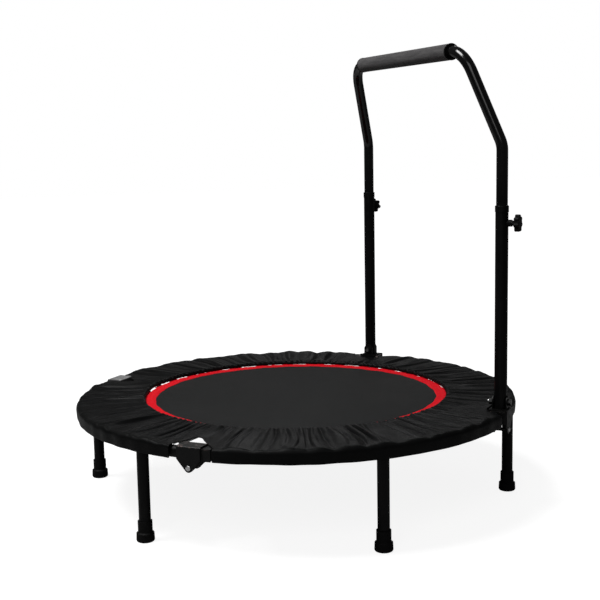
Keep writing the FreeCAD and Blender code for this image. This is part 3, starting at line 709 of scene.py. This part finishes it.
def cover_line():
    """The cover's section from its turned-under hem to the skirt's edge: (radius, height, length so far)."""
    lip = ((0.0008, 0.0012), (-0.0014, 0.0003), (-0.0028, 0.0009), (-0.0029, 0.0028), (-0.0019, 0.0044))
    line = [(HEM_R + across, BAND_TOP_Z + up) for across, up in lip]
    for k in range(TOP_ROWS + 1):
        share = k / TOP_ROWS
        height = COVER_HEM_Z + (COVER_TOP_Z - COVER_HEM_Z) * share ** 0.6
        line.append((HEM_R + (ROLL_START_R - HEM_R) * share, height))
    for k in range(1, ROLL_ROWS + 1):
        turn = math.pi / 2 * (1 - k / ROLL_ROWS)
        height = COVER_TOP_Z - ROLL_R + ROLL_R * math.sin(turn)
        line.append((ROLL_START_R + ROLL_R * math.cos(turn), height))
    last_r, last_z = line[-1]
    for k in range(1, SKIRT_ROWS + 1):
        share = k / SKIRT_ROWS
        radius = last_r + (SKIRT_BOTTOM_R - last_r) * share ** 1.6
        line.append((radius, last_z + (SKIRT_LOW_Z - last_z) * share))
    run = 0.0
    out = [(line[0][0], line[0][1], 0.0)]
    for (r0, z0), (r1, z1) in zip(line, line[1:]):
        run += math.hypot(r1 - r0, z1 - z0)
        out.append((r1, z1, run))
    return np.array(out)


HEM_ROW = 5                     # rows under this one are the turned-under hem
ROLL_ROW = HEM_ROW + TOP_ROWS   # rows over this one are the roll and the skirt


def waves(rng, angles, lowest, highest, power):
    """A periodic random curve: sines with a whole number of waves round the ring, scaled to about -1..1."""
    total = np.zeros_like(angles)
    for k in range(lowest, highest):
        total += rng.normal() * k ** -power * np.cos(k * angles + rng.uniform(0, 2 * math.pi))
    return total / np.abs(total).max()


def gathers(rng, angles, folds, unevenness):
    """Round-topped folds with sharp valleys, unevenly spaced and of uneven height, about -1..1."""
    pace = np.cumsum(1.0 + unevenness * waves(rng, angles, 2, folds // 2, 0.3))
    phase = pace * math.pi * folds / pace[-1]
    return (2 * np.abs(np.cos(phase)) ** 0.8 - 1) * (1.0 + 0.7 * waves(rng, angles, 3, folds // 2, 0.2))


def cover_angles():
    """Evenly spread columns, with one moved onto each side of each hinge arch."""
    angles = np.arange(COVER_COLUMNS) * 2 * math.pi / COVER_COLUMNS
    for hinge in NOTCH_CROWN_R:
        for foot in NOTCH_FEET:
            side = math.radians(hinge) + foot / NOTCH_SHOULDER_R
            angles[int(round(side / (2 * math.pi) * COVER_COLUMNS)) % COVER_COLUMNS] = side
    return angles


def offsets_from(hinge, angles):
    """How far each column is from a hinge along the shoulder's circle, anticlockwise positive."""
    turn = (angles - math.radians(hinge) + math.pi) % (2 * math.pi) - math.pi
    return turn * NOTCH_SHOULDER_R


def arch_edges(angles):
    """The radius where the cloth ends at each column; beyond the skirt where there is no arch."""
    edges = np.full_like(angles, BEYOND)
    for hinge, crown in NOTCH_CROWN_R.items():
        offset = offsets_from(hinge, angles)
        middle_at = NOTCH_CROWN_AT[hinge]
        aside = np.abs(offset - middle_at)
        reach = np.where(offset < middle_at, middle_at - NOTCH_FEET[0], NOTCH_FEET[1] - middle_at)
        share = np.clip((aside - NOTCH_CROWN_HALF) / (reach - NOTCH_CROWN_HALF), 0, 1)
        inside = aside < reach - 1e-5
        edges[inside] = (crown + (NOTCH_SHOULDER_R - crown) * share ** 0.9)[inside]
    return edges


def nearness_to_arches(angles, reach):
    """1 inside each arch, falling smoothly to 0 at a distance of reach past its feet."""
    near = np.zeros_like(angles)
    for hinge in NOTCH_CROWN_R:
        offset = offsets_from(hinge, angles)
        past = np.maximum(NOTCH_FEET[0] - offset, offset - NOTCH_FEET[1])
        share = np.clip(1 - past / reach, 0, 1)
        near = np.maximum(near, share * share * (3 - 2 * share))
    return near


def cover_cloth_places():
    """The gathered cloth before it settles, and the shape it was cut to, as (rows, columns, 3) arrays."""
    rng = np.random.default_rng(SEED)
    line = cover_line()
    angles = cover_angles()
    radii = line[:, 0]
    inward = np.clip((ROLL_START_R - radii) / (ROLL_START_R - HEM_R), 0, 1)
    # Frills at the hem merge outward into fewer, broader folds, and those into the lumps of the outer edge.
    frill = gathers(rng, angles, 168, 0.4)
    ridge = gathers(rng, angles, 104, 0.5)
    broad = gathers(rng, angles, 46, 0.6)
    lump = waves(rng, angles, 12, 70, 0.3)
    skirt_wave = waves(rng, angles, 8, 60, 0.5)
    hem_wander = waves(rng, angles, 2, 26, 0.4)
    lean = waves(rng, angles, 3, 30, 0.2)
    gape = np.clip((waves(rng, angles, 4, 60, 0.0) - 0.45) / 0.3, 0, 1)
    parted = np.clip(1 - np.abs(angles - PARTED_AT) / PARTED_HALF, 0, 1) * (0.75 + 0.25 * hem_wander)
    calm = 1 - 0.75 * nearness_to_arches(angles, 0.03)
    droop = DROOP * nearness_to_arches(angles, 0.045)
    places = np.zeros((len(line), len(angles), 3))
    cut = np.zeros_like(places)
    stretch = 1.0 + 0.14 * inward
    run_r = radii * stretch
    rise = 0.0
    for i, (radius, z, _) in enumerate(line):
        share = inward[i]
        outer = 1.0 - share
        beyond = max(0, i - ROLL_ROW)
        lift = FRILL_HEIGHT * (frill + 0.6) * share ** 4
        lift = lift + RIDGE_HEIGHT * ridge * (3.4 * share * outer + 0.3 * share + 0.2 * outer)
        lift = lift + BROAD_HEIGHT * broad * (share * outer * 3.2 + 0.3 * outer)
        lift = lift + LUMP_HEIGHT * lump * outer ** 2
        lift = lift * (1 - (1 - calm) * min(1.0, 2 * outer)) - droop * min(1.0, 2.5 * outer ** 2)
        if i < HEM_ROW:
            lift = lift * 0.8 * i / HEM_ROW + GAPE_LIFT * gape * (1 - i / HEM_ROW)
        fade = max(0.0, 1.0 - beyond / 6)
        turn = angles + 0.040 * lean * share * outer * 4 * (1 if i < ROLL_ROW else 0)
        puff = 0.0014 * lump * min(1.0, beyond / 4) * (1 - 0.3 * fade)
        puff = puff + 0.0009 * skirt_wave * min(1.0, beyond / 8)
        r = radius + (0.0010 * hem_wander + 0.0020 * gape + PARTED_WIDTH * parted) * share ** 3 + puff
        places[i, :, 0] = r * np.cos(turn)
        places[i, :, 1] = r * np.sin(turn)
        places[i, :, 2] = z + lift * fade + 0.0013 * skirt_wave * max(0.0, (beyond - 8) / 5)
        if i:
            step = line[i, 2] - line[i - 1, 2]
            across = run_r[i] - run_r[i - 1]
            rise += math.sqrt(max(step * step - across * across, 0.0))
        cut[i, :, 0] = run_r[i] * np.cos(angles)
        cut[i, :, 1] = run_r[i] * np.sin(angles)
        cut[i, :, 2] = -rise
    return line, angles, places, cut


def cover_faces(line, angles, places):
    """The grid's faces without the hinge arches; each column's last point moves onto its arch."""
    rows, columns = len(line), len(angles)
    edge = arch_edges(angles)
    last = np.full(columns, rows - 1)
    for k in range(columns):
        if edge[k] < 1.0:
            row = HEM_ROW + int(np.searchsorted(line[HEM_ROW:ROLL_ROW + 1, 0], edge[k]))
            last[k] = row
            places[row, k, :2] *= edge[k] / np.hypot(*places[row, k, :2])
    faces = []
    for k in range(columns):
        m = (k + 1) % columns
        both = min(last[k], last[m])
        for i in range(both):
            faces.append((i * columns + k, i * columns + m, (i + 1) * columns + m, (i + 1) * columns + k))
        if edge[k] < 1.0 and last[m] > both:
            high = ROLL_ROW if edge[m] > 1.0 else last[m]
            corner = both * columns + k
            faces.extend([(corner, i * columns + m, (i + 1) * columns + m) for i in range(both, high)])
        elif edge[m] < 1.0 and last[k] > both:
            high = ROLL_ROW if edge[k] > 1.0 else last[k]
            corner = both * columns + m
            faces.extend([(corner, (i + 1) * columns + k, i * columns + k) for i in range(both, high)])
    return faces, edge


def settle(piece, cut, pinned, frames):
    """Lets the gathered cloth, longer round than its circle, find its folds on a flat rest."""
    scene = bpy.context.scene
    rest_z = COVER_FLOOR_Z - CLOTH_THICKNESS
    points, faces = disc_grid(REST_FROM_R, REST_TO_R, 2, 96, lambda radius, angle: rest_z)
    rest_on = new_piece("cover_rest", points, faces)
    rest_on.modifiers.new("collision", "COLLISION")
    rest_on.collision.thickness_outer = 0.0008
    rest_on.collision.cloth_friction = 20
    piece.shape_key_add(name="Basis")
    rest = piece.shape_key_add(name="cut")
    rest.data.foreach_set("co", cut.astype(np.float32).ravel())
    rest.value = 0.0
    group = piece.vertex_groups.new(name="pinned")
    for weight in np.unique(pinned):
        if weight > 0:
            group.add([int(i) for i in np.nonzero(pinned == weight)[0]], float(weight), "REPLACE")
    cloth = piece.modifiers.new("cloth", "CLOTH")
    settings = cloth.settings
    settings.rest_shape_key = rest
    settings.vertex_group_mass = "pinned"
    settings.quality = 5
    settings.mass = 0.3
    settings.tension_stiffness = 15
    settings.compression_stiffness = 10
    settings.shear_stiffness = 5
    settings.bending_stiffness = 3.0
    settings.air_damping = 5
    settings.pin_stiffness = 1.0
    settings.effector_weights.gravity = 0.35
    cloth.collision_settings.use_collision = True
    cloth.collision_settings.distance_min = CLOTH_THICKNESS
    cloth.collision_settings.collision_quality = 2
    cloth.collision_settings.use_self_collision = False
    cloth.point_cache.frame_start = 1
    cloth.point_cache.frame_end = frames
    scene.frame_start = 1
    scene.frame_end = frames
    for number in range(1, frames + 1):
        scene.frame_set(number)
    evaluated = piece.evaluated_get(bpy.context.evaluated_depsgraph_get())
    settled = np.zeros(len(piece.data.vertices) * 3, np.float32)
    evaluated.data.vertices.foreach_get("co", settled)
    scene.frame_set(1)
    bpy.data.objects.remove(rest_on)
    return settled.reshape(-1, 3).astype(float)


def pin_weights(line, angles, edge):
    """The ring holds the roll and skirt, elastic holds the hem, and the arches' edges have their own hems."""
    weight = np.zeros((len(line), len(angles)))
    weight[ROLL_ROW - 1] = 0.5
    weight[ROLL_ROW:] = 1.0
    weight[:HEM_ROW + 1] = 1.0
    weight[HEM_ROW + 1] = 0.5
    near = edge < 1.0
    rows = line[:, 0][:, None] > edge[None, :] - 0.006
    weight[rows & near[None, :]] = 0.8
    return weight


def make_cover():
    """The gathered cover over the springs, one cloth all round."""
    line, angles, places, cut = cover_cloth_places()
    faces, edge = cover_faces(line, angles, places)
    points = places.reshape(-1, 3)
    loose = new_piece("cover_settling", points, faces)
    pinned = pin_weights(line, angles, edge).ravel()
    settled = settle(loose, cut.reshape(-1, 3), pinned, SETTLING_FRAMES)
    bpy.data.objects.remove(loose)
    move = settled - points
    size = np.linalg.norm(move, axis=1, keepdims=True)
    points = points + SETTLING * move * np.minimum(1.0, FURTHEST_MOVE / np.maximum(size, 1e-9))
    over = np.hypot(points[:, 0], points[:, 1]) < ROLL_START_R
    hem = np.arange(len(points)) < HEM_ROW * len(angles)
    soft = 0.0008
    ring_share = np.clip((np.hypot(points[:, 0], points[:, 1]) - RING_GROUND_FROM) / RING_GROUND_RUN, 0, 1)
    ground = COVER_FLOOR_Z + (RING_Z + TUBE_R + 0.0016 - COVER_FLOOR_Z) * ring_share
    lifted = ground + soft * np.logaddexp(0, (points[:, 2] - ground) / soft)
    points[:, 2] = np.where(over & ~hem, np.minimum(lifted, COVER_CEILING_Z), points[:, 2])
    used = sorted({i for face in faces for i in face})
    number = {old: new for new, old in enumerate(used)}
    cover = new_piece("spring_cover", points[used], [[number[i] for i in face] for face in faces])
    finer = cover.modifiers.new("finer", "SUBSURF")
    finer.levels = 1
    finer.render_levels = 1
    apply_modifiers(cover)
    smooth = np.zeros(len(cover.data.vertices) * 3, np.float32)
    cover.data.vertices.foreach_get("co", smooth)
    grid = np.full(points.shape, np.nan)
    grid[used] = smooth.reshape(-1, 3)[:len(used)]
    thicken(cover, CLOTH_THICKNESS, -1.0)
    apply_modifiers(cover)
    cover.data.materials.append(COVER_CLOTH)
    return cover, make_cover_stitches(grid.reshape(places.shape))


def make_cover_stitches(grid):
    """Two rows of lockstitch that hold the elastic in the cover's hems."""
    thread_r = 0.0003
    rows = Builder()
    columns = grid.shape[1]
    for row in (HEM_ROW + 3, len(grid) - 3):
        for k in range(columns):
            here = Vector(grid[row, k])
            there = Vector(grid[row, (k + 1) % columns])
            below = Vector(grid[row + 1, k])
            if any(math.isnan(p.x) for p in (here, there, below)):
                continue
            proud = (below - here).cross(there - here).normalized() * thread_r
            ends = ((0.1, -1.5), (0.25, 0.8), (0.7, 0.8), (0.85, -1.5))
            rows.sweep([here.lerp(there, share) + proud * height for share, height in ends], thread_r, 4)
    stitches = rows.piece("cover_stitches")
    stitches.data.materials.append(BLACK_THREAD)
    return stitches


def make_soft_pieces():
    mat = make_mat()
    band = make_band()
    stitches = make_band_stitches()
    cover, cover_stitches = make_cover()
    for piece in (mat, band, stitches, cover, cover_stitches):
        fold_with_ring(piece)
    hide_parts("mat_front_half", "mat_rear_half")
    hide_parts("mat_band_front_half", "mat_band_rear_half")
    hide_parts("cover_front_half", "cover_rear_half")


# --- Studio ------------------------------------------------------------------------------------
CAMERA_PLACE = Vector((2.5145, -0.9215, 0.831))
CAMERA_HEADING = math.radians(69.58)
CAMERA_TILT = math.radians(8.22)
CAMERA_ROLL = math.radians(-1.05)
CAMERA_LENS = 69.07


def make_camera():
    data = bpy.data.cameras.new("camera")
    data.lens = CAMERA_LENS
    data.sensor_width = 36.0
    data.clip_end = 60.0
    camera = bpy.data.objects.new("camera", data)
    bpy.context.scene.collection.objects.link(camera)
    turn = Matrix.Rotation(CAMERA_HEADING, 4, "Z") @ Matrix.Rotation(math.pi / 2 - CAMERA_TILT, 4, "X")
    camera.matrix_world = Matrix.Translation(CAMERA_PLACE) @ turn @ Matrix.Rotation(CAMERA_ROLL, 4, "Z")
    bpy.context.scene.camera = camera


def make_light(name, place, aim, size, power, colour=(1.0, 1.0, 1.0)):
    data = bpy.data.lights.new(name, "AREA")
    data.shape = "RECTANGLE"
    data.size, data.size_y = size
    data.energy = power
    data.color = colour
    light = bpy.data.objects.new(name, data)
    bpy.context.scene.collection.objects.link(light)
    light.location = place
    light.rotation_euler = (Vector(aim) - Vector(place)).to_track_quat("-Z", "Y").to_euler()


def make_studio():
    side = 14.0     # half the floor's width, past all that the camera sees
    points = [(-side, -side, 0), (side, -side, 0), (side, side, 0), (-side, side, 0)]
    floor = new_piece("floor", points, [(0, 1, 2, 3)])
    floor.data.materials.append(floor_paper("floor_paper"))
    make_world()
    make_light("key", (-0.2, -1.4, 3.3), (0, 0, 0.2), (1.4, 1.4), 105)
    make_light("fill", (2.8, -1.6, 2.4), (0, 0, 0.3), (2.0, 2.0), 24)
    make_light("back", (-2.8, 1.2, 2.0), (0, 0, 0.3), (1.4, 1.0), 6)
    bpy.context.scene.view_settings.view_transform = "Standard"


def make_world():
    """White to look at, and a dimmer light on the object, so that black surfaces stay black."""
    world = bpy.data.worlds.new("studio")
    world.use_nodes = True
    tree = world.node_tree
    seen = tree.nodes["Background"]
    seen.inputs["Color"].default_value = (1.0, 1.0, 1.0, 1.0)
    seen.inputs["Strength"].default_value = 1.0
    lit = tree.nodes.new("ShaderNodeBackground")
    lit.inputs["Color"].default_value = (1.0, 1.0, 1.0, 1.0)
    lit.inputs["Strength"].default_value = 0.08
    rays = tree.nodes.new("ShaderNodeLightPath")
    either = tree.nodes.new("ShaderNodeMixShader")
    tree.links.new(rays.outputs["Is Camera Ray"], either.inputs["Fac"])
    tree.links.new(lit.outputs["Background"], either.inputs[1])
    tree.links.new(seen.outputs["Background"], either.inputs[2])
    tree.links.new(either.outputs["Shader"], tree.nodes["World Output"].inputs["Surface"])
    bpy.context.scene.world = world


paint_nodes()
make_springs()
make_tabs()
make_soft_pieces()
make_camera()
make_studio()

bpy.context.view_layer.update()
